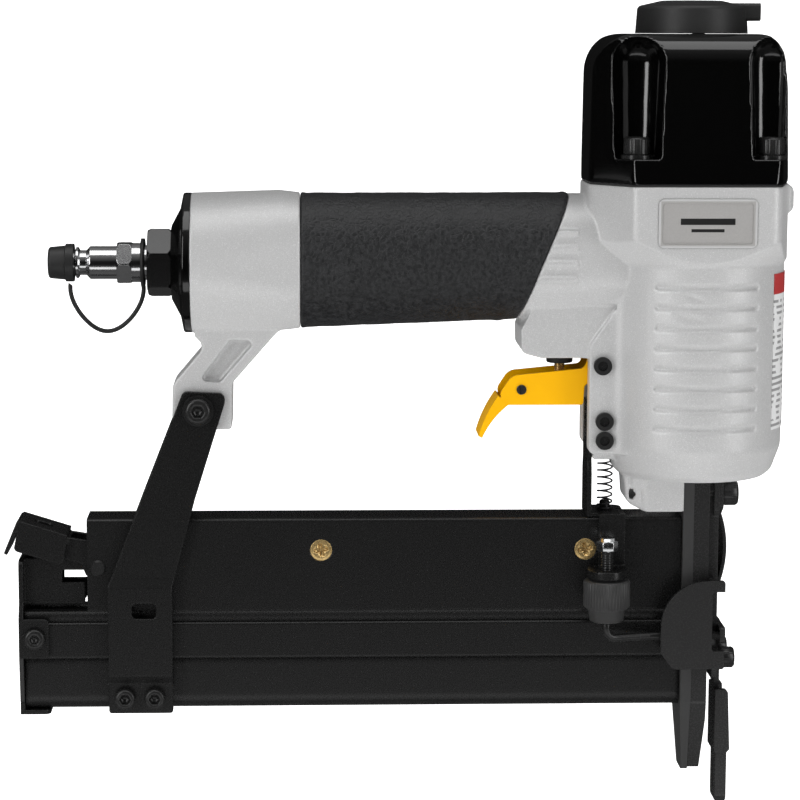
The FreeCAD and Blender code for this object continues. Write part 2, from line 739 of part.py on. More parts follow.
def safety_yoke():
    """Bracket: an upright behind the pins, a shelf for the spring and a lug for the adjuster."""
    x, y = KNOB_XY
    top = SPRING_Z[0]
    low = top - 1.2
    sheet_x = (-34.7, -33.25)
    upright = front_plate([
        (-7.8, low), (7.8, low), (7.8, 112, 2), (6.6, 116, 2), (6.6, 135.3, 1), (-6.6, 135.3, 1),
        (-6.6, 116, 2), (-7.8, 112, 2),
    ], sheet_x)
    slot = front_plate(corners_of((-1.4, 1.4), (126, 131), 1.3), (-36, -33))
    shelf = plan_plate([(sheet_x[0], 7.8, 1), (-22.4, 7.8, 3), (-22.4, -10.6), (-31, -10.6), (-31, -7.8),
                        (sheet_x[0], -7.8)], (low, top))
    tab = side_plate([(-31.0, top), (-31.0, 79.4), (-22.4, 79.4), (-22.4, top)], (-10.6, -9.2))
    tongue = [(-34.6, -9.2, 1), (-22.6, -9.2, 1), (-22.6, y - 2, 5), (-34.6, y - 2 - 4, 5)]
    lug = plan_plate(tongue, (79.4, 82.0))
    lug = fuse(lug, rod("z", (x, y, 79.4), 6.3, 2.6))
    post = revolve([(0, low), (1.7, low), (1.7, top + 3.2, 1), (0, top + 3.2)], centre=(SPRING_X, 0, 0))
    return cut(fuse(upright, shelf, tab, lug, post), slot, rod("z", (x, y, 78), 2.1, 6))


def safety_spring():
    low, high = SPRING_Z
    spring = coil(2.35, 0.3, 2.55, high - low - 0.1)
    spring.translate(vec(SPRING_X, 0, low + 0.05))
    return spring


def depth_knob():
    """Knurled nut that sets the driving depth."""
    x, y = KNOB_XY
    body = revolve([
        (2.05, 65.0), (5.2, 65.0, 0.8), (5.7, 69.3, 1), (7.6, 70.4, 0.8), (7.6, 78.2, 0.6), (5.0, 79.3),
        (2.05, 79.3),
    ], centre=(x, y, 0))
    teeth = []
    for step in range(36):
        notch = rod("z", (x + 7.75, y, 70), 0.32, 9)
        notch.rotate(vec(x, y, 0), AXES["z"], 10 * step)
        teeth.append(notch)
    return cut(body, *teeth)


def contact_rod():
    """Bent wire from the depth knob to the safety contact."""
    x, y = KNOB_XY
    inner = -12.7
    wire = bent_rod([
        (x, y, 66), (x, y, 62.5), (x + 3.0, y + 0.4, ROD_TURN_Z), (-14.0, inner, ROD_TURN_Z),
        (8.6, inner, ROD_TURN_Z),
    ], ROD_R)
    return fuse(wire, rod("z", (x, y, 65.5), 2.0, 27.0))


def lock_nut():
    x, y = KNOB_XY
    nut = hexagon("z", (x, y, 88.0), 7.0, 3.4)
    collar = rod("z", (x, y, 91.4), 2.8, 1.0)
    return fuse(nut, collar).cut(rod("z", (x, y, 87), 2.0, 6))


def safety_contact():
    """Front slide with its wing for the rod and the tip that meets the work."""
    neck = front_plate(corners_of((-3.4, 3.4), (38, 62), 1), (8.6, 10.4))
    wing = front_plate(corners_of((-14.0, 3.4), (56.6, 61.8), 1), (8.6, 10.4))
    wide = front_plate([(-7, 18, 3), (7, 18, 3), (7, 39.5, 1.5), (-7, 39.5, 1.5)], (8.6, 10.4))
    ear = [(8.6, 18), (12.0, 17.4), (13.7, 19.0, 1), (12.9, 38.5, 1), (12.0, 39.5, 0.6), (8.6, 39.5)]
    side = side_plate(ear, (-7, -5.4))
    tip = side_plate([(9.4, 26), (9.4, 0.0, 1.7), (13.1, 0.0, 1.7), (13.1, 26)], (-5.0, 5.0))
    tip = tip.common(front_plate([(-5, 0, 3.2), (5, 0, 3.2), (5, 27), (-5, 27)], (0, 20)))
    slot = front_plate(corners_of((-1.5, 1.5), (4.5, 14.5), 1.4), (0, 20))
    return fuse(neck, wing, wide, side, mirror(side), tip).cut(slot)


# ---- nose ---------------------------------------------------------------

def nose_outline(half, low):
    """Front view of a nose plate, narrowing towards the work."""
    right = [(5.0, low, 1), (half, 36.0, 4), (half, BARREL_Z)]
    left = [(-half, BARREL_Z), (-half, 36.0, 4), (-5.0, low, 1)]
    return right + left


def bolt_holes():
    y, z = M5_BOLT_YZ
    y4, z4 = M4_BOLT_YZ
    holes = []
    for side in (-1, 1):
        holes.append(rod("x", (-5, side * y, z), 2.55, 20))
        holes.append(rod("x", (-5, side * y4, z4), 2.05, 20))
    return holes


def blade_channel():
    thick, wide = BLADE[0] / 2 + FIT, BLADE[1] / 2 + FIT
    return block((-thick, thick), (-wide, wide), (10, 112))


def driver_guide():
    body = front_plate(nose_outline(10.4, 12.0), GUIDE_X)
    window = block((-5, 0), (-NAIL_HALF, NAIL_HALF), (37.5, 88.5))
    taper = side_plate([(-6, 10), (-2.0, 10), (-3.6, 36), (-6, 36)], (-12, 12))
    return cut(body, window, taper, blade_channel(), *bolt_holes())


def guide_front_plate():
    body = front_plate(nose_outline(10.4, 12.6), FRONT_X)
    taper = side_plate([(3.6, 10), (5.2, 31), (7, 31), (7, 10)], (-12, 12))
    return cut(body, taper, blade_channel(), *bolt_holes())


def nose_guard():
    """Two round ears joined by strips that sit under the cover plate."""
    ear = [
        (-11.0, 54.0, 3), (-11.0, 77.4, 15), (9.8, 77.9, 1), (9.8, 74.2), (5.7, 74.2, 1), (5.7, 54.5, 1),
        (9.8, 54.5), (9.8, 48.6, 1), (-7.0, 48.6, 3),
    ]
    near = side_plate(ear, (-16.4, -14.9))
    low = block(GUARD_X, (-16.4, 16.4), (48.6, 54.4))
    high = block(GUARD_X, (-16.4, 16.4), (74.3, 77.9))
    return cut(fuse(near, mirror(near), low, high), *bolt_holes())


def guide_cover_plate():
    outline = [
        (-9.5, 44, 1.5), (9.5, 44, 1.5), (11.4, 47, 1.5), (11.4, 54.3, 1), (8.6, 57, 1), (8.6, 98, 1),
        (10.4, 100, 1), (10.4, NOSE_TOP, 1), (-10.4, NOSE_TOP, 1), (-10.4, 100, 1), (-8.6, 98, 1),
        (-8.6, 57, 1), (-11.4, 54.3, 1), (-11.4, 47, 1.5),
    ]
    thin = front_plate(outline, COVER_X)
    pads = [block(GUARD_X, (-8.6, 8.6), (54.5, 74.2)), block(GUARD_X, (-8.6, 8.6), (78, NOSE_TOP))]
    return cut(fuse(thin, *pads), *bolt_holes())


def front_spring_plate():
    """Bowed strip under the two upper bolts."""
    low, high, bulge = 75.0, 98.5, 2.0
    x0, x1 = SPRING_PLATE_X
    y = -5.5
    middle = (low + high) / 2
    outer = Part.Arc(vec(x1, y, high), vec(x1 + bulge, y, middle), vec(x1, y, low)).toShape()
    inner = Part.Arc(vec(x0, y, low), vec(x0 + bulge, y, middle), vec(x0, y, high)).toShape()
    face = Part.Face(Part.Wire([outer, Part.makeLine(vec(x1, y, low), vec(x0, y, low)), inner,
                                Part.makeLine(vec(x0, y, high), vec(x1, y, high))]))
    bow = face.extrude(vec(0, -2 * y, 0))
    foot = front_plate([(-5.5, 98.0), (5.5, 98.0), (10.4, 101, 1), (10.4, NOSE_TOP, 1), (-10.4, NOSE_TOP, 1),
                        (-10.4, 101, 1)], SPRING_PLATE_X)
    return cut(fuse(bow, foot), *bolt_holes())


def nose_bolts():
    y, z = M5_BOLT_YZ
    y4, z4 = M4_BOLT_YZ
    upper = cap_screw((SPRING_PLATE_X[1], -y, z), vec(-1, 0, 0), 2.5, 26, 4.2, 5.0)
    lower = cap_screw((SPRING_PLATE_X[1], -y4, z4), vec(-1, 0, 0), 2.0, 13.1, 3.5, 4.6)
    return group(*both_sides(upper), *both_sides(lower))


# ---- magazine -----------------------------------------------------------

def magazine_channel():
    """Fixed channel: grooved sides for the drawer rails and a slot for the fasteners."""
    low, high = MAG_Z
    half = MAG_HALF
    notch = RAIL_Y[0] - FIT
    outline = [
        (-half, low, 4), (half, low, 4), (half, RAIL_Z[0] - FIT), (notch, RAIL_Z[0] - FIT),
        (notch, RAIL_Z[1] + FIT), (half, RAIL_Z[1] + FIT), (half, high), (-half, high),
        (-half, RAIL_Z[1] + FIT), (-notch, RAIL_Z[1] + FIT), (-notch, RAIL_Z[0] - FIT),
        (-half, RAIL_Z[0] - FIT),
    ]
    body = front_plate(outline, MAG_X)
    pad = side_plate(corners_of((-190, -170.2), (36.5, 43.0), 1), (-STRUT_Y, STRUT_Y))
    space = block((MAG_X[0] - 1, 0), (-NAIL_HALF, NAIL_HALF), (low + 2.5, high + 1))
    screws = [cross_rod(spot, 2.05, 12) for spot in STRUT_LOW]
    return cut(fuse(body, pad), space, *screws)


def magazine_cover():
    """Upper cover, an inverted channel."""
    half, wall = MAG_HALF, 1.5
    outline = [(-half, MAG_Z[1]), (-half, COVER_TOP_Z, 1.2), (half, COVER_TOP_Z, 1.2), (half, MAG_Z[1]),
               (half - wall, MAG_Z[1]), (half - wall, COVER_TOP_Z - wall), (-half + wall, COVER_TOP_Z - wall),
               (-half + wall, MAG_Z[1])]
    body = front_plate(outline, (COVER_REAR_X, MAG_X[1]))
    holes = [cross_rod(LATCH_PIN, 2.0, 10)]
    for x, z in COVER_SCREWS:
        holes.append(cross_rod((x, z), 1.8, 10))
        sink = cone("y", (x, -MAG_HALF, z), 3.6, 1.8, 1.8)
        holes += both_sides(sink)
    return cut(body, *holes)


def cover_screws():
    """Countersunk cross-head screws on both sides of the cover."""
    screws = []
    for x, z in COVER_SCREWS:
        head = cone("y", (x, -MAG_HALF, z), 3.6, 1.8, 1.8)
        shank = rod("y", (x, -MAG_HALF + 1, z), 1.8, 2.4)
        slots = [block((x - 1.9, x + 1.9), (-MAG_HALF - 1, -MAG_HALF + 1), (z - 0.35, z + 0.35)),
                 block((x - 0.35, x + 0.35), (-MAG_HALF - 1, -MAG_HALF + 1), (z - 1.9, z + 1.9))]
        screws += both_sides(cut(fuse(head, shank), *slots))
    return group(*screws)


def nail_rail():
    """Rail in the cover that steadies the upper ends of the fasteners."""
    half = MAG_HALF - 1.5
    body = block((-184, MAG_X[1]), (-half, half), (80, COVER_TOP_Z - 1.5))
    space = block((-185, 0), (-NAIL_HALF, NAIL_HALF), (79, 89))
    holes = []
    for x, z in COVER_SCREWS:
        holes += both_sides(rod("y", (x, -half - 1, z), 1.8, 3.0))
        holes += both_sides(cone("y", (x, -MAG_HALF, z), 3.6, 1.8, 1.8))
    return cut(body, space, *holes)


def strut_plate():
    """Cranked sheet brace from the rear arm down to the channel."""
    outline = [
        (-165.4, 139.5, 2), (-152.2, 138.9, 2), (-152.0, 136.0, 2), (-161.8, 104.6, 6), (-168.4, 79.6, 3),
        (-169.4, 76.0, 2), (-169.4, 33.9, 1), (-190.2, 33.9, 1), (-190.2, 76.0, 1.5), (-188.3, 80.7, 2),
        (-179.1, 104.7, 6),
    ]
    inner, out = -STRUT_Y, 1.2
    outer = inner - STRUT_THICK
    bend = [
        (inner, 142), (inner, 79.0), (inner - out, 76.0), (inner - out, 46.0), (inner, 43.4), (inner, 33),
        (outer, 33), (outer, 43.9), (outer - out, 46.5), (outer - out, 75.5), (outer, 78.5), (outer, 142),
    ]
    sheet = side_plate(outline, (-20, 0)).common(front_plate(bend, (-200, -140)))
    slot = side_plate(corners_of((-182.5, -174.6), (65.4, 70.5), 1.6), (-20, 0))
    holes = [cross_rod(STRUT_TOP, 2.55, 20)] + [cross_rod(spot, 2.05, 20) for spot in STRUT_LOW]
    return cut(sheet, slot, *holes)


def strut_plates():
    return group(*both_sides(strut_plate()))


def strut_top_screws():
    x, z = STRUT_TOP
    seat = -STRUT_Y - STRUT_THICK - 1.2
    return group(*both_sides(cap_screw((x, seat, z), vec(0, 1, 0), 2.5, 11, 4.2, 3.0)))


def strut_lower_screws():
    screws = []
    for x, z in STRUT_LOW:
        screws += both_sides(cap_screw((x, -STRUT_Y - STRUT_THICK, z), vec(0, 1, 0), 2.0, 9, 3.3, 3.0))
    return group(*screws)


def latch_lever():
    """Thumb latch with two arms inside the cover."""
    arm = [(-190.4, 78.4, 2.5), (-190.6, 84.6, 2.5), (-196.0, 90.0, 2), (-204.2, 91.4), (-204.8, 84.0),
           (-199.0, 82.5, 1), (-197.4, 78.4, 1)]
    near_arm = side_plate(arm, (-6.2, -4.9))
    cheek = [(-218.6, 97.0, 1.5), (-203.3, 92.1, 1.5), (-204.6, 82.4, 1.5), (-220.6, 87.4, 1.5)]
    near_cheek = side_plate(cheek, (-8.6, -7.4))
    cover = [(-218.8, 97.2), (-203.2, 92.3), (-203.6, 91.0), (-219.4, 96.0)]
    roof = side_plate(cover, (-8.6, 8.6))
    lip_outline = [(-219.4, 97.0, 0.4), (-223.8, 86.4, 0.5), (-222.6, 86.0, 0.4), (-218.2, 96.4)]
    lip = side_plate(lip_outline, (-8.6, 8.6))
    bridge = side_plate([(-206.0, 91.6), (-202.6, 90.6), (-203.0, 89.3), (-206.4, 90.3)], (-8.6, 8.6))
    hole = plan_plate(corners_of((-214.6, -208.4), (-2.2, 2.2), 2.1), (88, 100))
    body = fuse(near_arm, mirror(near_arm), near_cheek, mirror(near_cheek), roof, lip, bridge)
    return cut(body, hole, cross_rod(LATCH_PIN, 2.0 + FIT, 10))


def latch_pin():
    head = cone("y", (LATCH_PIN[0], -MAG_HALF - 0.8, LATCH_PIN[1]), 2.1, 2.7, 0.8)
    return fuse(cross_rod(LATCH_PIN, 2.0, MAG_HALF), head, mirror(head))


def drawer_rails():
    """Side rails that slide in the grooves of the channel."""
    rail = front_plate([(-RAIL_Y[1], RAIL_Z[0], 0.8), (-RAIL_Y[0], RAIL_Z[0]), (-RAIL_Y[0], RAIL_Z[1]),
                        (-RAIL_Y[1], RAIL_Z[1], 0.8)], (-217.7, -6.0))
    hole = rod("y", (DRAWER_SCREW[0], -12, DRAWER_SCREW[1]), 1.95, 6)
    return group(*both_sides(rail.cut(hole)))


def drawer_end_plate():
    """Bent sheet across the rear end: tabs on the rails, a foot and two upper flanges."""
    back = front_plate([
        (-RAIL_Y[1] - 1.2, 52, 1), (-8, 35.6, 2), (8, 35.6, 2), (10.2, 52, 1), (10.2, 65, 1),
        (8, 70, 1), (8, 84, 2), (-8, 84, 2), (-8, 70, 1), (-10.2, 65, 1),
    ], (-219.2, -217.7))
    tab = side_plate(corners_of((-218.4, -209.5), (52, 65), 1.5), (-10.2, -9.0))
    flange_sheet = side_plate([
        (-218.4, 69, 1), (-198.0, 69, 1), (-198.0, 76.0), (-205.4, 76.0), (-205.4, 80.2),
        (-195.5, 80.2), (-195.5, 84, 1), (-218.4, 84, 1),
    ], (-4.6, -3.4))
    foot = plan_plate([(-219.2, -8, 2), (-209.5, -8, 2), (-209.5, 8, 2), (-219.2, 8, 2)], (32.9, 34.3))
    heel = block((-219.2, -217.7), (-8, 8), (32.9, 38))
    body = fuse(back, tab, mirror(tab), flange_sheet, mirror(flange_sheet), foot, heel)
    holes = [cross_rod(DRAWER_SCREW, 2.05, 12), rod("x", (-222, 0, PUSHER_ROD_Z), 1.5, 6)]
    return cut(body, *holes)


def drawer_screws():
    x, z = DRAWER_SCREW
    return group(*both_sides(cap_screw((x, -RAIL_Y[1] - 1.2, z), vec(0, 1, 0), 1.95, 3.4, 3.4, 2.2)))


def pusher():
    half = NAIL_HALF - 0.1
    outline = [(-24, 38, 1), (-8.5, 38, 1), (-8.5, 87, 0.5), (-14, 87, 2), (-24, 70, 3)]
    body = side_plate(outline, (-half, half))
    return body.cut(rod("x", (-30, 0, PUSHER_ROD_Z), 1.5 + FIT, 30))


def pusher_rod():
    return rod("x", (-219.2, 0, PUSHER_ROD_Z), 1.5, 207)


def pusher_spring():
    spring = coil(2.2, 0.3, 8.0, 193.0)
    spring.rotate(vec(0, 0, 0), AXES["y"], 90)
    spring.translate(vec(-217.4, 0, PUSHER_ROD_Z))
    return spring


# ---- all parts ----------------------------------------------------------

NODES = {
    "housing": housing,
    "nameplate": nameplate,
    "front_label": front_label,
    "cylinder_cap": cylinder_cap,
    "cap_gasket": cap_gasket,
    "cap_screws": cap_screws,
    "washers": washers,
    "exhaust_deflector": exhaust_deflector,
    "deflector_screw": deflector_screw,
    "head_valve": head_valve,
    "head_valve_spring": head_valve_spring,
    "head_valve_oring": head_valve_oring,
    "cylinder_sleeve": cylinder_sleeve,
    "cylinder_orings": cylinder_orings,
    "piston": piston,
    "driver_blade": driver_blade,
    "piston_oring": piston_oring,
    "bumper": bumper,
    "handle_grip": handle_grip,
    "end_cap": end_cap,
    "end_cap_oring": end_cap_oring,
    "inlet_bushing": inlet_bushing,
    "air_plug": air_plug,
    "dust_cap": dust_cap,
    "dust_cap_strap": dust_cap_strap,
    "trigger": trigger,
    "trigger_lever": trigger_lever,
    "lever_pin": lever_pin,
    "cross_pins": cross_pins,
    "pin_grommets": pin_grommets,
    "valve_bushing": valve_bushing,
    "valve_stem": valve_stem,
    "valve_spring": valve_spring,
    "safety_yoke": safety_yoke,
    "safety_spring": safety_spring,
    "depth_knob": depth_knob,
    "contact_rod": contact_rod,
    "lock_nut": lock_nut,
    "safety_contact": safety_contact,
    "driver_guide": driver_guide,
    "guide_front_plate": guide_front_plate,
    "guide_cover_plate": guide_cover_plate,
    "nose_bolts": nose_bolts,
    "nose_guard": nose_guard,
    "front_spring_plate": front_spring_plate,
    "magazine_channel": magazine_channel,
    "magazine_cover": magazine_cover,
    "cover_screws": cover_screws,
    "nail_rail": nail_rail,
    "strut_plates": strut_plates,
    "strut_top_screws": strut_top_screws,
    "strut_lower_screws": strut_lower_screws,
    "latch_lever": latch_lever,
    "latch_pin": latch_pin,
    "drawer_rails": drawer_rails,
    "drawer_end_plate": drawer_end_plate,
    "drawer_screws": drawer_screws,
    "pusher": pusher,
    "pusher_rod": pusher_rod,
    "pusher_spring": pusher_spring,
}

os.makedirs("parts", exist_ok=True)
for name, make in NODES.items():
    make().exportStep("parts/" + name + ".step")
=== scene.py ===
import math

import bmesh
import bpy
from mathutils import Matrix, Vector, noise
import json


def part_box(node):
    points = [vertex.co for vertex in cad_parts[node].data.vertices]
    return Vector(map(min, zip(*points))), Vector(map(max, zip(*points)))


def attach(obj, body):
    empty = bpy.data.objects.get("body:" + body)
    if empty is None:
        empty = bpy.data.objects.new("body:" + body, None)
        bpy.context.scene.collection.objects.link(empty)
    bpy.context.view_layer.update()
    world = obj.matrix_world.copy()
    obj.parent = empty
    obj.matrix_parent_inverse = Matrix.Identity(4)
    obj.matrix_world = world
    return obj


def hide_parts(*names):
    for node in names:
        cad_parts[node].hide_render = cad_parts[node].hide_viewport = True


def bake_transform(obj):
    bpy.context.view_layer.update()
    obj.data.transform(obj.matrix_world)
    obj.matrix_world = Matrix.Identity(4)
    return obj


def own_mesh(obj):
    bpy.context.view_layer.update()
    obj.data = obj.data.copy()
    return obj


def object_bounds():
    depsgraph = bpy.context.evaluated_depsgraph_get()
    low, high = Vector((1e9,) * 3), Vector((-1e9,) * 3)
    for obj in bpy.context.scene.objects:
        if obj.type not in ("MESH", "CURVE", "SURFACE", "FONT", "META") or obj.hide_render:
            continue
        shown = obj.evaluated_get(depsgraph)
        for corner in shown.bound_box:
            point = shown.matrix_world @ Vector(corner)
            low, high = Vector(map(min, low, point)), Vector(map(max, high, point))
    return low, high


MM = 0.001
SCREW_SIDES = 96

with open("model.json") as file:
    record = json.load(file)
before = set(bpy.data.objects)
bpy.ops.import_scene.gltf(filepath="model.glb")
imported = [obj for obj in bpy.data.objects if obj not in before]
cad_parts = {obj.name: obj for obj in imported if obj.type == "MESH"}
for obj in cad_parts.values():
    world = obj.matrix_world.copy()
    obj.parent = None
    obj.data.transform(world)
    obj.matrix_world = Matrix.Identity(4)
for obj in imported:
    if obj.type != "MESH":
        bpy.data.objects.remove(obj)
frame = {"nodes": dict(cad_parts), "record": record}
cad_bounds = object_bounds()
nodes = frame["nodes"]


# ---- node helpers -------------------------------------------------------

def grey(value):
    return (value, value, value, 1.0)


class Shader:
    """A Principled material with object coordinates in metres, and short ways to add nodes.
    With soft above zero, sharp edges are shaded as if rounded by that many metres."""

    def __init__(self, name, soft=0.0):
        self.material = bpy.data.materials.new(name)
        self.material.use_nodes = True
        self.tree = self.material.node_tree
        self.surface = self.tree.nodes["Principled BSDF"]
        self.place = self.add("ShaderNodeTexCoord").outputs["Object"]
        self.rounded = None
        if soft > 0.0:
            bevel = self.add("ShaderNodeBevel", samples=4)
            bevel.inputs["Radius"].default_value = soft
            self.rounded = bevel.outputs["Normal"]

    def add(self, kind, **settings):
        node = self.tree.nodes.new(kind)
        for key, value in settings.items():
            setattr(node, key, value)
        return node

    def link(self, source, target):
        self.tree.links.new(source, target)

    def set(self, **values):
        """Sets surface inputs by name, with _ for a space, from a value or a socket."""
        for key, value in values.items():
            socket = self.surface.inputs[key.replace("_", " ")]
            if isinstance(value, bpy.types.NodeSocket):
                self.link(value, socket)
            else:
                socket.default_value = value

    def noise(self, size, detail=3.0, rough=0.5, stretch=(1, 1, 1)):
        """Noise whose features are about size metres."""
        mapping = self.add("ShaderNodeMapping")
        mapping.inputs["Scale"].default_value = stretch
        self.link(self.place, mapping.inputs["Vector"])
        node = self.add("ShaderNodeTexNoise")
        node.inputs["Scale"].default_value = 1.0 / size
        node.inputs["Detail"].default_value = detail
        node.inputs["Roughness"].default_value = rough
        self.link(mapping.outputs["Vector"], node.inputs["Vector"])
        return node.outputs["Fac"]

    def cells(self, size, feature="F1", output="Distance"):
        node = self.add("ShaderNodeTexVoronoi", feature=feature)
        node.inputs["Scale"].default_value = 1.0 / size
        self.link(self.place, node.inputs["Vector"])
        return node.outputs[output]

    def span(self, source, low, high, start=0.0, end=1.0):
        """Maps source from low..high to start..end."""
        node = self.add("ShaderNodeMapRange")
        node.inputs["From Min"].default_value = low
        node.inputs["From Max"].default_value = high
        node.inputs["To Min"].default_value = start
        node.inputs["To Max"].default_value = end
        self.link(source, node.inputs["Value"])
        return node.outputs["Result"]

    def mix(self, share, first, second):
        """Colour between first and second; each is a colour or a socket."""
        node = self.add("ShaderNodeMix", data_type="RGBA")
        for socket, value in ((node.inputs[0], share), (node.inputs[6], first), (node.inputs[7], second)):
            if isinstance(value, bpy.types.NodeSocket):
                self.link(value, socket)
            else:
                socket.default_value = value
        return node.outputs[2]

    def math(self, operation, first, second):
        node = self.add("ShaderNodeMath", operation=operation)
        for socket, value in ((node.inputs[0], first), (node.inputs[1], second)):
            if isinstance(value, bpy.types.NodeSocket):
                self.link(value, socket)
            else:
                socket.default_value = value
        return node.outputs[0]

    def axis(self, name):
        """One coordinate of the place in the frame."""
        node = self.add("ShaderNodeSeparateXYZ")
        self.link(self.place, node.inputs[0])
        return node.outputs[name]

    def bump(self, height, distance, strength=1.0, under=None):
        """Bump from a 0..1 height that stands for distance metres."""
        node = self.add("ShaderNodeBump")
        node.inputs["Strength"].default_value = strength
        node.inputs["Distance"].default_value = distance
        self.link(height, node.inputs["Height"])
        below = under or self.rounded
        if below is not None:
            self.link(below, node.inputs["Normal"])
        return node.outputs["Normal"]


# ---- materials ----------------------------------------------------------

def cast_silver():
    """Silver powder coat on a casting: fine orange peel and small flakes painted lighter, partly their own
    colour and partly a painted glint.
    """
    s = Shader("cast_silver")
    grain = s.noise(0.40 * MM, 4.0, 0.65)
    flake = s.add("ShaderNodeSeparateXYZ")
    s.link(s.cells(0.14 * MM, output="Color"), flake.inputs[0])
    # one cell in ten gets a lighter base colour and lower roughness: the flakes' own colour and partly a
    # painted glint
    flake_and_painted_glint = s.span(flake.outputs["X"], 0.90, 1.0)
    tone = s.mix(s.noise(16 * MM, 2.0), grey(0.475), grey(0.53))
    speck = s.mix(s.span(grain, 0.35, 0.65), tone, grey(0.575))
    s.set(Base_Color=s.mix(flake_and_painted_glint, speck, grey(0.80)), Metallic=0.30)
    s.set(Roughness=s.span(flake_and_painted_glint, 0.0, 1.0, 0.46, 0.25), Specular_IOR_Level=0.4)
    fine = s.bump(grain, 0.05 * MM, 0.45)
    s.set(Normal=s.bump(s.noise(1.6 * MM, 2.0), 0.05 * MM, 0.45, fine))
    return s.material


def gloss_black():
    s = Shader("gloss_black", 0.35 * MM)
    peel = s.noise(3.0 * MM, 2.0)
    dust = s.span(s.noise(0.35 * MM, 2.0), 0.72, 0.80)
    s.set(Base_Color=s.mix(dust, grey(0.0012), grey(0.012)))
    s.set(Roughness=s.span(dust, 0.0, 1.0, 0.12, 0.3))
    s.set(Coat_Weight=0.5, Coat_Roughness=0.04, Normal=s.bump(peel, 0.02 * MM, 0.2))
    return s.material


def black_sheet(name="black_sheet", tone=0.0075, soft=0.7 * MM):
    """Semi-gloss black paint on sheet metal."""
    s = Shader(name, soft)
    grain = s.noise(0.5 * MM, 3.0, 0.6)
    s.set(Base_Color=s.mix(s.noise(24 * MM), grey(0.94 * tone), grey(1.06 * tone)))
    s.set(Roughness=s.span(grain, 0.3, 0.7, 0.25, 0.29), Specular_IOR_Level=0.5)
    s.set(Normal=s.bump(grain, 0.005 * MM, 0.12))
    return s.material


def black_oxide():
    s = Shader("black_oxide", 0.15 * MM)
    grain = s.noise(0.4 * MM, 4.0, 0.6)
    s.set(Base_Color=s.mix(s.noise(5 * MM, 3.0), grey(0.018), grey(0.030)), Metallic=0.4)
    s.set(Roughness=s.span(grain, 0.3, 0.7, 0.20, 0.30), Normal=s.bump(grain, 0.02 * MM, 0.5))
    return s.material


def rough_casting():
    """Dark grey cast guide block with a coarse skin."""
    s = Shader("rough_casting", 0.3 * MM)
    grain = s.noise(0.9 * MM, 4.0, 0.7)
    s.set(Base_Color=s.mix(grain, grey(0.022), grey(0.042)), Roughness=s.span(grain, 0.3, 0.7, 0.40, 0.55))
    s.set(Normal=s.bump(grain, 0.08 * MM, 0.6))
    return s.material


def matt_plastic():
    s = Shader("matt_plastic", 0.4 * MM)
    grain = s.noise(0.35 * MM, 2.0, 0.5)
    s.set(Base_Color=s.mix(s.noise(9 * MM, 2.0), grey(0.012), grey(0.018)))
    s.set(Roughness=s.span(grain, 0.3, 0.7, 0.42, 0.58), Normal=s.bump(grain, 0.03 * MM, 0.6))
    return s.material


def grip_rubber():
    """Moulded leather grain: irregular pads with creases between them."""
    s = Shader("grip_rubber")
    wrinkle = s.noise(1.3 * MM, 4.0, 0.62)
    creases = s.cells(1.5 * MM, "DISTANCE_TO_EDGE")
    pads = s.span(creases, 0.0, 0.22)
    height = s.math("ADD", s.span(wrinkle, 0.3, 0.7), pads)
    base = s.mix(s.span(wrinkle, 0.4, 0.62), (0.008, 0.0083, 0.009, 1), (0.020, 0.0205, 0.022, 1))
    s.set(Base_Color=base, Roughness=s.span(wrinkle, 0.3, 0.7, 0.40, 0.58))
    s.set(Normal=s.bump(height, 0.12 * MM, 0.8))
    return s.material


def black_rubber():
    s = Shader("black_rubber", 0.2 * MM)
    grain = s.noise(0.6 * MM, 3.0)
    s.set(Base_Color=s.mix(s.noise(4 * MM), grey(0.008), grey(0.014)))
    s.set(Roughness=s.span(grain, 0.3, 0.7, 0.38, 0.52), Normal=s.bump(grain, 0.02 * MM, 0.4))
    return s.material


def yellow_coat():
    s = Shader("yellow_coat", 0.3 * MM)
    grain = s.noise(0.5 * MM, 3.0)
    tone = s.mix(s.noise(7 * MM, 2.0), (0.84, 0.41, 0.0, 1), (0.90, 0.46, 0.0, 1))
    s.set(Base_Color=tone, Specular_IOR_Level=0.12)
    s.set(Roughness=s.span(grain, 0.3, 0.7, 0.30, 0.40), Normal=s.bump(grain, 0.015 * MM, 0.4))
    return s.material


def metal(name, colour, rough, stretch=(1, 1, 1), shine=1.0):
    """Bare metal with fine tool marks along the axis with the smallest stretch."""
    s = Shader(name, 0.12 * MM)
    marks = s.noise(0.4 * MM, 4.0, 0.6, stretch)
    dull = tuple(c * 0.75 for c in colour[:3]) + (1.0,)
    s.set(Base_Color=s.mix(s.noise(3 * MM, 3.0), dull, colour), Metallic=shine)
    s.set(Roughness=s.span(marks, 0.3, 0.7, rough * 0.8, rough * 1.25), Normal=s.bump(marks, 0.01 * MM, 0.35))
    return s.material


def knob_grey():
    s = Shader("knob_grey", 0.1 * MM)
    grain = s.noise(0.4 * MM, 3.0)
    s.set(Base_Color=s.mix(s.noise(4 * MM), grey(0.030), grey(0.048)), Metallic=0.2)
    s.set(Roughness=s.span(grain, 0.3, 0.7, 0.34, 0.46), Normal=s.bump(grain, 0.015 * MM, 0.5))
    return s.material


def gasket_fibre():
    s = Shader("gasket_fibre")
    fibre = s.noise(0.8 * MM, 5.0, 0.7)
    s.set(Base_Color=s.mix(fibre, grey(0.015), grey(0.04)), Roughness=s.span(fibre, 0.3, 0.7, 0.7, 0.85))
    s.set(Normal=s.bump(fibre, 0.03 * MM, 0.6))
    return s.material


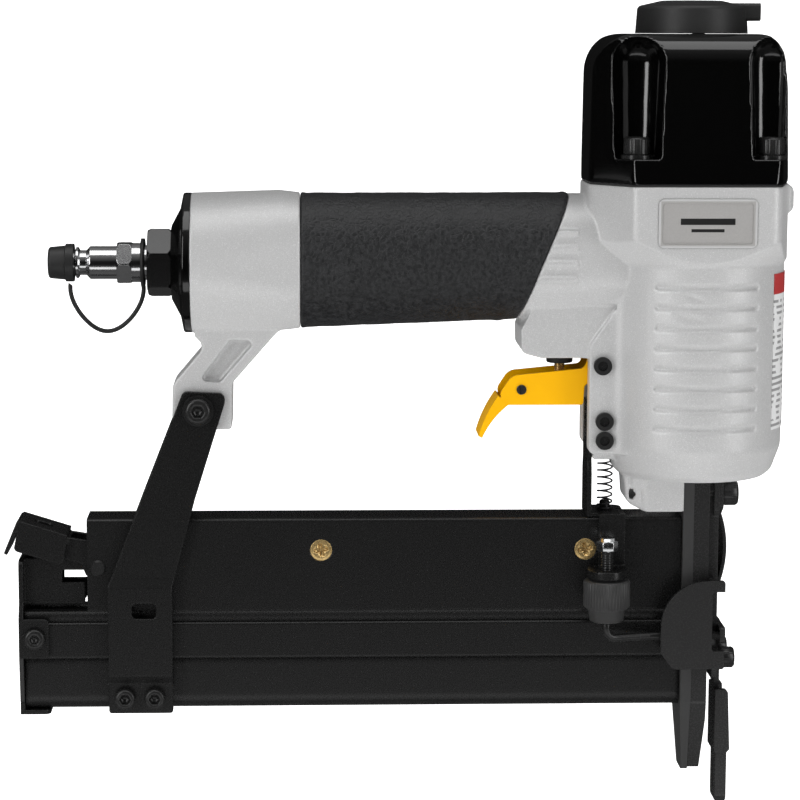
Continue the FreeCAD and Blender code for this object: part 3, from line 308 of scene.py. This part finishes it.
def label_film():
    """White film with a red band on top and plain grey bars, no writing."""
    s = Shader("label_film")
    low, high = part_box("front_label")
    z = s.axis("Z")
    band = 6.5 * MM
    white = s.mix(s.noise(6 * MM), grey(0.66), grey(0.74))
    rows = s.math("FRACT", s.math("DIVIDE", s.math("SUBTRACT", z, low.z), 1.9 * MM), 0.0)
    below_band = s.span(z, high.z - band - 1.5 * MM, high.z - band - 1.7 * MM)
    bars = s.math("MULTIPLY", s.span(rows, 0.50, 0.55), below_band)
    ragged = s.span(s.noise(3 * MM, 0.0, 0.5, (0, 1, 0.6)), 0.42, 0.44)
    printed = s.mix(s.math("MULTIPLY", bars, ragged), white, grey(0.28))
    top = s.span(z, high.z - band - 0.1 * MM, high.z - band)
    s.set(Base_Color=s.mix(top, printed, (0.42, 0.035, 0.035, 1)))
    s.set(Roughness=s.span(s.noise(0.7 * MM), 0, 1, 0.25, 0.4))
    s.set(Normal=s.bump(s.noise(2.5 * MM), 0.01 * MM, 0.3))
    return s.material


def name_film():
    """Satin plate with a light rim and a plain dark bar over a short one, no writing."""
    s = Shader("name_film", 0.2 * MM)
    low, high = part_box("nameplate")
    middle = (low + high) / 2
    brushed = s.noise(0.5 * MM, 3.0, 0.6)
    offset_x = s.math("SUBTRACT", s.axis("X"), middle.x)
    offset_z = s.math("SUBTRACT", s.axis("Z"), middle.z)

    def within(offset, centre, half):
        """1 where offset is within half of centre, in millimetres, with a soft edge."""
        away = s.math("ABSOLUTE", s.math("SUBTRACT", offset, centre * MM), 0.0)
        return s.span(away, (half + 0.05) * MM, (half - 0.05) * MM)

    def bar(x, z, half_long, half_high):
        return s.math("MULTIPLY", within(offset_x, x, half_long), within(offset_z, z, half_high))

    reach_x, reach_z = (high.x - low.x) / 2, (high.z - low.z) / 2
    marks = s.math("MAXIMUM", bar(0.0, 0.6, 8.6, 1.0), bar(0.0, -2.2, 5.2, 0.5))
    edge_x = s.span(s.math("ABSOLUTE", offset_x, 0.0), reach_x - 0.7 * MM, reach_x - 0.6 * MM)
    edge_z = s.span(s.math("ABSOLUTE", offset_z, 0.0), reach_z - 0.7 * MM, reach_z - 0.6 * MM)
    field = s.mix(brushed, (0.40, 0.39, 0.38, 1), (0.50, 0.49, 0.48, 1))
    rim = s.mix(s.math("MAXIMUM", edge_x, edge_z), field, grey(0.62))
    s.set(Base_Color=s.mix(marks, rim, grey(0.02)), Metallic=0.35)
    s.set(Roughness=s.span(brushed, 0.3, 0.7, 0.34, 0.46), Normal=s.bump(brushed, 0.01 * MM, 0.4))
    return s.material


MATERIALS = {
    "cast_silver": cast_silver(),
    "gloss_black": gloss_black(),
    "black_sheet": black_sheet(),
    "black_oxide": black_oxide(),
    "black_plastic": matt_plastic(),
    "grip_rubber": grip_rubber(),
    "black_rubber": black_rubber(),
    "yellow_coat": yellow_coat(),
    "brass": metal("brass_turned", (0.80, 0.56, 0.24, 1), 0.28, shine=0.8),
    "plug_chrome": metal("plug_chrome", (0.80, 0.80, 0.81, 1), 0.14),
    "zinc": metal("zinc", (0.82, 0.83, 0.84, 1), 0.22),
    "spring_steel": metal("spring_steel", (0.10, 0.10, 0.105, 1), 0.36, shine=0.8),
    "tool_steel": metal("tool_steel", (0.45, 0.45, 0.46, 1), 0.28, (1, 1, 0.08)),
    "rough_casting": rough_casting(),
    "nose_plate": black_sheet("nose_plate", 0.018, 0.5 * MM),
    "rolled_sheet": black_sheet("rolled_sheet", 0.0075, 2.5 * MM),
    "label_film": label_film(),
    "plate_film": name_film(),
    "knob_grey": knob_grey(),
    "gasket": gasket_fibre(),
}

# nodes that look different from the rest of their slot
OWN_FINISH = {
    "driver_guide": "rough_casting", "nose_guard": "nose_plate", "guide_front_plate": "nose_plate",
    "guide_cover_plate": "nose_plate", "front_spring_plate": "nose_plate", "safety_contact": "nose_plate",
    "magazine_channel": "rolled_sheet",
}


def dress_cad_nodes():
    """Gives each CAD node the material of its slot."""
    for row in frame["record"]["subparts"]:
        node = nodes[row["node"]]
        finish = OWN_FINISH.get(row["node"], row["material_slot"])
        node.data.materials.clear()
        node.data.materials.append(MATERIALS[finish])
        for face in node.data.polygons:
            face.use_smooth = True


# ---- mesh helpers -------------------------------------------------------

BODIES = frame["record"]["behaviour"]["bodies"]
BODY_OF = {node: body for body, members in BODIES.items() for node in members}
SLOT_OF = {row["node"]: row["material_slot"] for row in frame["record"]["subparts"]}


def add_piece(name, mesh, node, finish=None, ride=True):
    """New piece that stands for a CAD node and rides on its body."""
    for face in mesh.polygons:
        face.use_smooth = True
    mesh.materials.clear()
    mesh.materials.append(MATERIALS[finish or SLOT_OF[node]])
    thing = bpy.data.objects.new(name, mesh)
    bpy.context.scene.collection.objects.link(thing)
    if ride:
        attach(thing, BODY_OF[node])
    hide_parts(node)
    return thing


def mesh_of(bm, name):
    bmesh.ops.recalc_face_normals(bm, faces=bm.faces)
    mesh = bpy.data.meshes.new(name)
    bm.to_mesh(mesh)
    bm.free()
    return mesh


def welded(node):
    """The CAD mesh of a node as a bmesh with its split corners joined."""
    bm = bmesh.new()
    bm.from_mesh(nodes[node].data)
    bmesh.ops.remove_doubles(bm, verts=bm.verts, dist=0.002 * MM)
    return bm


def islands(node):
    """(low, high) corners of each separate solid of a node."""
    bm = welded(node)
    seen, boxes = set(), []
    for start in bm.verts:
        if start in seen:
            continue
        seen.add(start)
        todo, spots = [start], []
        while todo:
            vert = todo.pop()
            spots.append(vert.co.copy())
            for edge in vert.link_edges:
                other = edge.other_vert(vert)
                if other not in seen:
                    seen.add(other)
                    todo.append(other)
        low = Vector([min(p[i] for p in spots) for i in range(3)])
        high = Vector([max(p[i] for p in spots) for i in range(3)])
        boxes.append((low, high))
    bm.free()
    return boxes


def turn_rows(bm, rows, segments, place):
    """Closed turned solid along local +Z, added to bm. A row is (radius, height), and a radius may be a
    function of the angle. The first and last rows are points on the axis."""
    rings = []
    for radius, height in rows[1:-1]:
        ring = []
        for step in range(segments):
            angle = 2 * math.pi * step / segments
            r = radius(angle) if callable(radius) else radius
            spot = Vector((r * math.cos(angle), r * math.sin(angle), height))
            ring.append(bm.verts.new(place @ spot))
        rings.append(ring)
    first = bm.verts.new(place @ Vector((0, 0, rows[0][1])))
    last = bm.verts.new(place @ Vector((0, 0, rows[-1][1])))
    for i in range(segments):
        j = (i + 1) % segments
        bm.faces.new((first, rings[0][j], rings[0][i]))
        bm.faces.new((last, rings[-1][i], rings[-1][j]))
        for lower, upper in zip(rings, rings[1:]):
            bm.faces.new((lower[i], lower[j], upper[j], upper[i]))


def stand_at(point, direction):
    """Matrix that puts local +Z along direction at point."""
    turn = Vector(direction).to_track_quat("Z", "Y").to_matrix().to_4x4()
    return Matrix.Translation(point) @ turn


def hexagon(across_flats):
    def radius(angle):
        return across_flats / 2 / math.cos((angle % (math.pi / 3)) - math.pi / 6)
    return radius


def knurl(radius, depth, teeth):
    def at(angle):
        return radius - depth * (0.5 + 0.5 * math.cos(teeth * angle))
    return at


def cross(length, width):
    def radius(angle):
        turn = (angle + math.pi / 4) % (math.pi / 2) - math.pi / 4
        return min(length / math.cos(turn), width / max(abs(math.sin(turn)), 1e-6))
    return radius


# ---- castings and rubber ------------------------------------------------

def remeshed(node, voxel, rounds):
    """Even quad mesh of a CAD node with softly rounded edges."""
    mesh = bpy.data.meshes.new(node + "_soft")
    bm = welded(node)
    bm.to_mesh(mesh)
    bm.free()
    thing = bpy.data.objects.new(node + "_soft", mesh)
    bpy.context.scene.collection.objects.link(thing)
    remesh = thing.modifiers.new("remesh", "REMESH")
    remesh.mode = "VOXEL"
    remesh.voxel_size = voxel
    smooth = thing.modifiers.new("smooth", "SMOOTH")
    smooth.factor = 0.5
    smooth.iterations = rounds
    graph = bpy.context.evaluated_depsgraph_get()
    made = bpy.data.meshes.new_from_object(thing.evaluated_get(graph))
    bpy.data.objects.remove(thing)
    return made


def cast_housing():
    add_piece("housing_casting", remeshed("housing", 0.5 * MM, 3), "housing")


def fluted_cap():
    add_piece("cap_enamelled", remeshed("cylinder_cap", 0.5 * MM, 4), "cylinder_cap")


def grip_sleeve():
    """Rubber sleeve with a swollen lip at both ends and shallow moulded waves."""
    mesh = remeshed("handle_grip", 0.7 * MM, 4)
    low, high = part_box("handle_grip")
    axis = (low + high) / 2
    front = high.x
    for vert in mesh.vertices:
        outward = Vector((0, vert.co.y, vert.co.z - axis.z))
        if outward.length < 1 * MM:
            continue
        wave = noise.noise(vert.co / (2.6 * MM)) * 0.10 * MM + noise.noise(vert.co / (7 * MM)) * 0.12 * MM
        edge = front - (high.z - vert.co.z) * 0.53
        lip = math.exp(-((vert.co.x - edge + 1.2 * MM) / (1.3 * MM)) ** 2) * 0.30 * MM
        lip += math.exp(-((vert.co.x - low.x - 0.9 * MM) / (0.9 * MM)) ** 2) * 0.20 * MM
        vert.co += outward.normalized() * (wave + lip)
    add_piece("grip_sleeve", mesh, "handle_grip")


def strap():
    """Rubber strap: the CAD strap mesh with its split corners joined, fixed where it is."""
    bm = welded("dust_cap_strap")
    thing = add_piece("strap_loop", mesh_of(bm, "strap_loop"), "dust_cap_strap", ride=False)
    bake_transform(thing)


# ---- springs ------------------------------------------------------------

def wire_ring(bm, middle, first, second, wire, sides, place=Matrix()):
    """Ring of vertices round middle, in the plane of two unit vectors."""
    ring = []
    for side in range(sides):
        phase = 2 * math.pi * side / sides
        spot = middle + wire * (first * math.cos(phase) + second * math.sin(phase))
        ring.append(bm.verts.new(place @ spot))
    return ring


def wire_skin(bm, rings):
    """Closed skin over a row of rings."""
    sides = len(rings[0])
    for first, second in zip(rings, rings[1:]):
        for i in range(sides):
            j = (i + 1) % sides
            bm.faces.new((first[i], first[j], second[j], second[i]))
    bm.faces.new(rings[0])
    bm.faces.new(rings[-1])


def helix_mesh(name, start, direction, radius, wire, length, turns):
    """Wire spring along direction, with a nearly closed turn at each end."""
    place = stand_at(start, direction)
    bm = bmesh.new()
    sides, per_turn, end_turns = 8, 28, 1.0
    up = Vector((0, 0, 1))
    rings = []
    for step in range(int(turns * per_turn) + 1):
        turn = step / per_turn
        share = max(0.0, min(1.0, (turn - end_turns / 2) / (turns - end_turns)))
        height = wire + (length - 2 * wire) * share
        if turn < end_turns:
            height = max(height, wire + 2.1 * wire * turn)
        angle = 2 * math.pi * turn
        out = Vector((math.cos(angle), math.sin(angle), 0))
        rings.append(wire_ring(bm, radius * out + height * up, out, up, wire, sides, place))
    wire_skin(bm, rings)
    return mesh_of(bm, name)


# node, axis, wire radius in millimetres, turns, joint, and the end that stays
SPRINGS = (
    ("safety_spring", "z", 0.30, 8.5, "safety_lift", "high"),
    ("valve_spring", "z", 0.40, 5.0, "valve_stem_push", "high"),
    ("head_valve_spring", "z", 1.00, 5.5, "head_valve_lift", "high"),
    ("pusher_spring", "x", 0.30, 25.0, "pusher_slide", "low"),
)


def springs():
    """Wire springs in place of the CAD ones, each riding on the drawer or the frame."""
    for node, axis, wire, turns, joint, fixed in SPRINGS:
        low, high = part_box(node)
        size = high - low
        along = Vector((0, 0, 1)) if axis == "z" else Vector((1, 0, 0))
        length = size.dot(along)
        middle = (low + high) / 2
        start = middle - along * length / 2
        radius = size.y / 2 - wire * MM
        mesh = helix_mesh(node + "_wire", start, along, radius, wire * MM, length, turns)
        thing = add_piece(node + "_wire", mesh, node, ride=False)
        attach(thing, "drawer" if node == "pusher_spring" else "frame")
        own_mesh(thing)


# ---- screws, nut, knob and wire -----------------------------------------

def socket_rows(r, h, key, length):
    """Rows of a socket cap screw: head radius, head height, key width and whole length."""
    side = knurl(r, 0.045 * r, 32)
    shank = r * 0.58
    socket = hexagon(key)
    return [
        (0, -length), (shank, -length), (shank, -h), (r * 0.96, -h), (side, -h * 0.93), (side, -0.16 * r),
        (r * 0.95, -0.13 * r), (r * 0.86, 0.0), (key * 0.66, 0.0), (socket, -0.08 * r),
        (socket, -h * 0.55), (0, -h * 0.62),
    ]


def socket_screws(node, direction_of, head_radius, head_height, key):
    """Socket cap screws with knurled heads in place of a node's plain ones."""
    bm = bmesh.new()
    for low, high in islands(node):
        middle = (low + high) / 2
        out = Vector(direction_of(middle))
        length = abs((high - low).dot(out))
        top = middle + out * length / 2
        rows = socket_rows(head_radius * MM, head_height * MM, key * MM, length)
        turn_rows(bm, rows, SCREW_SIDES, stand_at(top, out))
    add_piece(node + "_socket", mesh_of(bm, node + "_socket"), node)


def outward_y(middle):
    return (0, math.copysign(1, middle.y), 0)


def screws():
    socket_screws("cap_screws", lambda middle: (0, 0, 1), 4.25, 5.6, 4.0)
    socket_screws("deflector_screw", lambda middle: (0, 0, 1), 3.5, 2.1, 2.5)
    socket_screws("strut_top_screws", outward_y, 4.2, 3.0, 3.4)
    socket_screws("strut_lower_screws", outward_y, 3.3, 3.0, 3.0)
    socket_screws("drawer_screws", outward_y, 3.4, 2.2, 2.6)
    nose_screws()
    cross_screws()


def nose_screws():
    """Two sizes of socket screw in one node, told apart by their width."""
    bm = bmesh.new()
    for low, high in islands("nose_bolts"):
        r = (high.y - low.y) / 2
        h = 5.0 * MM if r > 3.9 * MM else 4.6 * MM
        top = Vector((high.x, (low.y + high.y) / 2, (low.z + high.z) / 2))
        rows = socket_rows(r, h, 0.92 * r, high.x - low.x)
        turn_rows(bm, rows, SCREW_SIDES, stand_at(top, (1, 0, 0)))
    add_piece("nose_bolts_socket", mesh_of(bm, "nose_bolts_socket"), "nose_bolts")


def cross_screws():
    """Countersunk brass screws with a cross recess, slightly domed."""
    bm = bmesh.new()
    for low, high in islands("cover_screws"):
        middle = (low + high) / 2
        out = Vector(outward_y(middle))
        length = high.y - low.y
        r = (high.x - low.x) / 2
        top = middle + out * length / 2
        rows = [
            (0, -length), (r * 0.5, -length), (r * 0.5, -r * 0.5), (r * 0.99, -0.05 * MM),
            (r * 0.93, 0.04 * MM), (r * 0.72, 0.12 * MM),
            (cross(0.64 * r, 0.18 * r), 0.14 * MM), (cross(0.58 * r, 0.14 * r), -0.6 * MM),
            (cross(0.40 * r, 0.09 * r), -0.9 * MM), (0, -1.2 * MM),
        ]
        turn_rows(bm, rows, SCREW_SIDES, stand_at(top, out) @ Matrix.Rotation(math.radians(12), 4, "Z"))
    add_piece("cover_screws_cross", mesh_of(bm, "cover_screws_cross"), "cover_screws")


def knob():
    """Knurled adjusting nut with a smooth lower collar."""
    low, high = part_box("depth_knob")
    centre = Vector(((low.x + high.x) / 2, (low.y + high.y) / 2, low.z))
    height = high.z - low.z
    r = (high.x - low.x) / 2
    band = knurl(r, 0.32 * MM, 44)
    rows = [
        (0, 0.2 * MM), (2.2 * MM, 0.1 * MM), (0.66 * r, 0), (0.72 * r, 0.4 * MM), (0.80 * r, 0.27 * height),
        (0.90 * r, 0.31 * height), (band, 0.36 * height), (band, 0.90 * height), (0.93 * r, 0.95 * height),
        (0.88 * r, 0.955 * height), (0.70 * r, 0.96 * height), (0.66 * r, height), (2.3 * MM, height),
        (0, height - 0.1 * MM),
    ]
    bm = bmesh.new()
    turn_rows(bm, rows, 240, Matrix.Translation(centre))
    add_piece("knob_knurled", mesh_of(bm, "knob_knurled"), "depth_knob", "knob_grey")


def nut():
    """Lock nut with chamfered corners and its round collar."""
    low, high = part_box("lock_nut")
    centre = Vector(((low.x + high.x) / 2, (low.y + high.y) / 2, low.z))
    height = high.z - low.z
    flats = high.y - low.y
    six = hexagon(flats)
    inside = hexagon(flats * 0.94)
    rows = [
        (0, 0.05 * MM), (2.05 * MM, 0), (flats * 0.47, 0), (inside, 0.1 * MM), (six, 0.5 * MM),
        (six, 0.66 * height),
        (inside, 0.74 * height), (flats * 0.47, 0.78 * height), (flats * 0.42, 0.80 * height),
        (flats * 0.40, 0.97 * height), (2.05 * MM, height), (0, height - 0.05 * MM),
    ]
    bm = bmesh.new()
    turn_rows(bm, rows, SCREW_SIDES, Matrix.Translation(centre))
    add_piece("lock_nut_hex", mesh_of(bm, "lock_nut_hex"), "lock_nut")


def rounded_path(corners, radius, steps=8):
    """Points along corners, with each inner corner turned on an arc."""
    path = [corners[0]]
    for back, corner, ahead in zip(corners, corners[1:], corners[2:]):
        a = (back - corner).normalized()
        b = (ahead - corner).normalized()
        half = a.angle(b) / 2
        reach = radius / math.tan(half)
        centre = corner + (a + b).normalized() * radius / math.sin(half)
        start = (corner + a * reach - centre).normalized()
        end = (corner + b * reach - centre).normalized()
        for step in range(steps + 1):
            path.append(centre + radius * start.slerp(end, step / steps))
    path.append(corners[-1])
    return path


def swept_wire(bm, path, radius, sides=20):
    rings = []
    across = Vector((0, 1, 0))
    for i, spot in enumerate(path):
        ahead = (path[min(i + 1, len(path) - 1)] - path[max(i - 1, 0)]).normalized()
        across = (across - ahead * across.dot(ahead)).normalized()
        rings.append(wire_ring(bm, spot, across, ahead.cross(across), radius, sides))
    wire_skin(bm, rings)


def adjusting_wire():
    """Threaded stud and bent wire down to the safety contact."""
    low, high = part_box("contact_rod")
    knob_low, knob_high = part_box("depth_knob")
    x, y = (knob_low.x + knob_high.x) / 2, (knob_low.y + knob_high.y) / 2
    wire, stud, pitch = 1.35 * MM, 2.0 * MM, 0.8 * MM
    run_z = low.z + wire
    inner = -12.7 * MM
    bm = bmesh.new()
    corners = [Vector((x, y, knob_low.z + 1 * MM)), Vector((x, y, run_z)), Vector((-14 * MM, inner, run_z)),
               Vector((high.x, inner, run_z))]
    swept_wire(bm, rounded_path(corners, 3.6 * MM), wire)
    rows = [(0, knob_low.z + 0.5 * MM), (stud * 0.9, knob_low.z + 0.5 * MM)]
    z = knob_high.z - 2 * MM
    while z < high.z - pitch:
        rows += [(stud * 0.86, z), (stud * 0.86, z + 0.15 * pitch)]
        rows += [(stud, z + 0.45 * pitch), (stud, z + 0.7 * pitch)]
        z += pitch
    rows += [(stud * 0.8, high.z - 0.1 * MM), (0, high.z)]
    turn_rows(bm, rows, 32, Matrix.Translation(Vector((x, y, 0))))
    add_piece("adjusting_wire", mesh_of(bm, "adjusting_wire"), "contact_rod")


# ---- stage, lights and camera -------------------------------------------

def stage_material(name, value, glow):
    """Matt paper that also glows a little, so that it stays white without a strong lamp."""
    s = Shader(name)
    paper = s.mix(s.noise(0.4, 2.0), grey(value), grey(value * 1.02))
    s.set(Base_Color=paper, Roughness=0.9, Emission_Color=paper, Emission_Strength=glow)
    return s.material


def backdrop():
    """Pale floor that curves up into a pale wall."""
    floor_z = cad_bounds[0].z - 0.2 * MM
    reach, back, high, radius = 3.0, 3.0, 3.0, 0.6
    profile = [(-reach, floor_z), (back - radius, floor_z)]
    for step in range(1, 17):
        angle = math.radians(90 * step / 16)
        profile.append((back - radius + radius * math.sin(angle), floor_z + radius * (1 - math.cos(angle))))
    profile.append((back, floor_z + high))
    mesh = bpy.data.meshes.new("backdrop")
    points = [(x, y, z) for x in (-4.0, 4.0) for y, z in profile]
    count = len(profile)
    faces = [(i, i + 1, count + i + 1, count + i) for i in range(count - 1)]
    mesh.from_pydata(points, [], faces)
    for face in mesh.polygons:
        face.use_smooth = True
    thing = bpy.data.objects.new("backdrop", mesh)
    bpy.context.scene.collection.objects.link(thing)
    mesh.materials.append(stage_material("backdrop_paper", 0.86, 1.2))
    thing.visible_glossy = False


def softbox(name, place, aim, size, power):
    light = bpy.data.lights.new(name, "AREA")
    light.shape = "RECTANGLE"
    light.size, light.size_y = size
    light.energy = power
    thing = bpy.data.objects.new(name, light)
    thing.location = place
    thing.rotation_euler = (Vector(aim) - Vector(place)).to_track_quat("-Z", "Y").to_euler()
    bpy.context.scene.collection.objects.link(thing)


def lights():
    middle = (-0.09, 0.0, 0.14)
    softbox("key_left", (-1.05, -0.95, 0.62), middle, (0.40, 1.2), 7.2)
    softbox("key_right", (0.95, -0.80, 0.40), middle, (0.32, 1.2), 4.8)
    softbox("top", (-0.1, -0.25, 1.35), middle, (1.6, 0.8), 7.0)
    softbox("low_fill", (-0.1, -0.75, -0.35), middle, (1.4, 0.25), 1.2)
    surroundings()


def surroundings():
    """Pale to the camera; to the object's reflections a dark room with a paler floor and ceiling."""
    world = bpy.data.worlds.new("studio")
    world.use_nodes = True
    tree = world.node_tree
    place = tree.nodes.new("ShaderNodeTexCoord")
    split = tree.nodes.new("ShaderNodeSeparateXYZ")
    tree.links.new(place.outputs["Generated"], split.inputs[0])
    ramp = tree.nodes.new("ShaderNodeValToRGB")
    tree.links.new(split.outputs["Z"], ramp.inputs["Fac"])
    path = tree.nodes.new("ShaderNodeLightPath")
    mix = tree.nodes.new("ShaderNodeMix")
    mix.data_type = "RGBA"
    tree.links.new(path.outputs["Is Camera Ray"], mix.inputs[0])
    shift = tree.nodes.new("ShaderNodeMapRange")
    shift.inputs["From Min"].default_value = -1.0
    tree.links.new(split.outputs["Z"], shift.inputs["Value"])
    tree.links.new(shift.outputs["Result"], ramp.inputs["Fac"])
    stops = ramp.color_ramp.elements
    stops[0].position, stops[0].color = 0.0, grey(0.10)
    stops[1].position, stops[1].color = 1.0, grey(0.22)
    for position, value in ((0.30, 0.06), (0.42, 0.008), (0.60, 0.008), (0.80, 0.10)):
        stops.new(position).color = grey(value)
    tree.links.new(ramp.outputs["Color"], mix.inputs[6])
    mix.inputs[7].default_value = grey(1.0)
    tree.links.new(mix.outputs[2], tree.nodes["Background"].inputs["Color"])
    bpy.context.scene.world = world


def camera():
    """Looks almost straight at the near side, from a little above and to the left."""
    target = Vector((-95.4, 0.0, 135.1)) * MM
    azimuth, elevation, roll = math.radians(-2.25), math.radians(8.04), math.radians(0.18)
    distance, width_at_target = 850 * MM, 260.5 * MM
    back = Vector((
        math.sin(azimuth) * math.cos(elevation),
        -math.cos(azimuth) * math.cos(elevation),
        math.sin(elevation),
    ))
    data = bpy.data.cameras.new("camera")
    data.sensor_width = 36.0
    data.lens = data.sensor_width * distance / width_at_target
    data.clip_start, data.clip_end = 0.05, 20.0
    thing = bpy.data.objects.new("camera", data)
    turn = (-back).to_track_quat("-Z", "Y").to_matrix() @ Matrix.Rotation(roll, 3, "Z")
    thing.matrix_world = Matrix.Translation(target + back * distance) @ turn.to_4x4()
    bpy.context.scene.collection.objects.link(thing)
    bpy.context.scene.camera = thing


def view_settings():
    scene = bpy.context.scene
    scene.view_settings.view_transform = "Standard"
    scene.view_settings.look = "None"


def save_sizes():
    """Meant for the bounds of the plain CAD object and of the finished one, as plain lists; it only imports
    json.
    """
    import json


dress_cad_nodes()
cast_housing()
fluted_cap()
grip_sleeve()
strap()
springs()
screws()
knob()
nut()
adjusting_wire()
backdrop()
lights()
camera()
view_settings()
save_sizes()
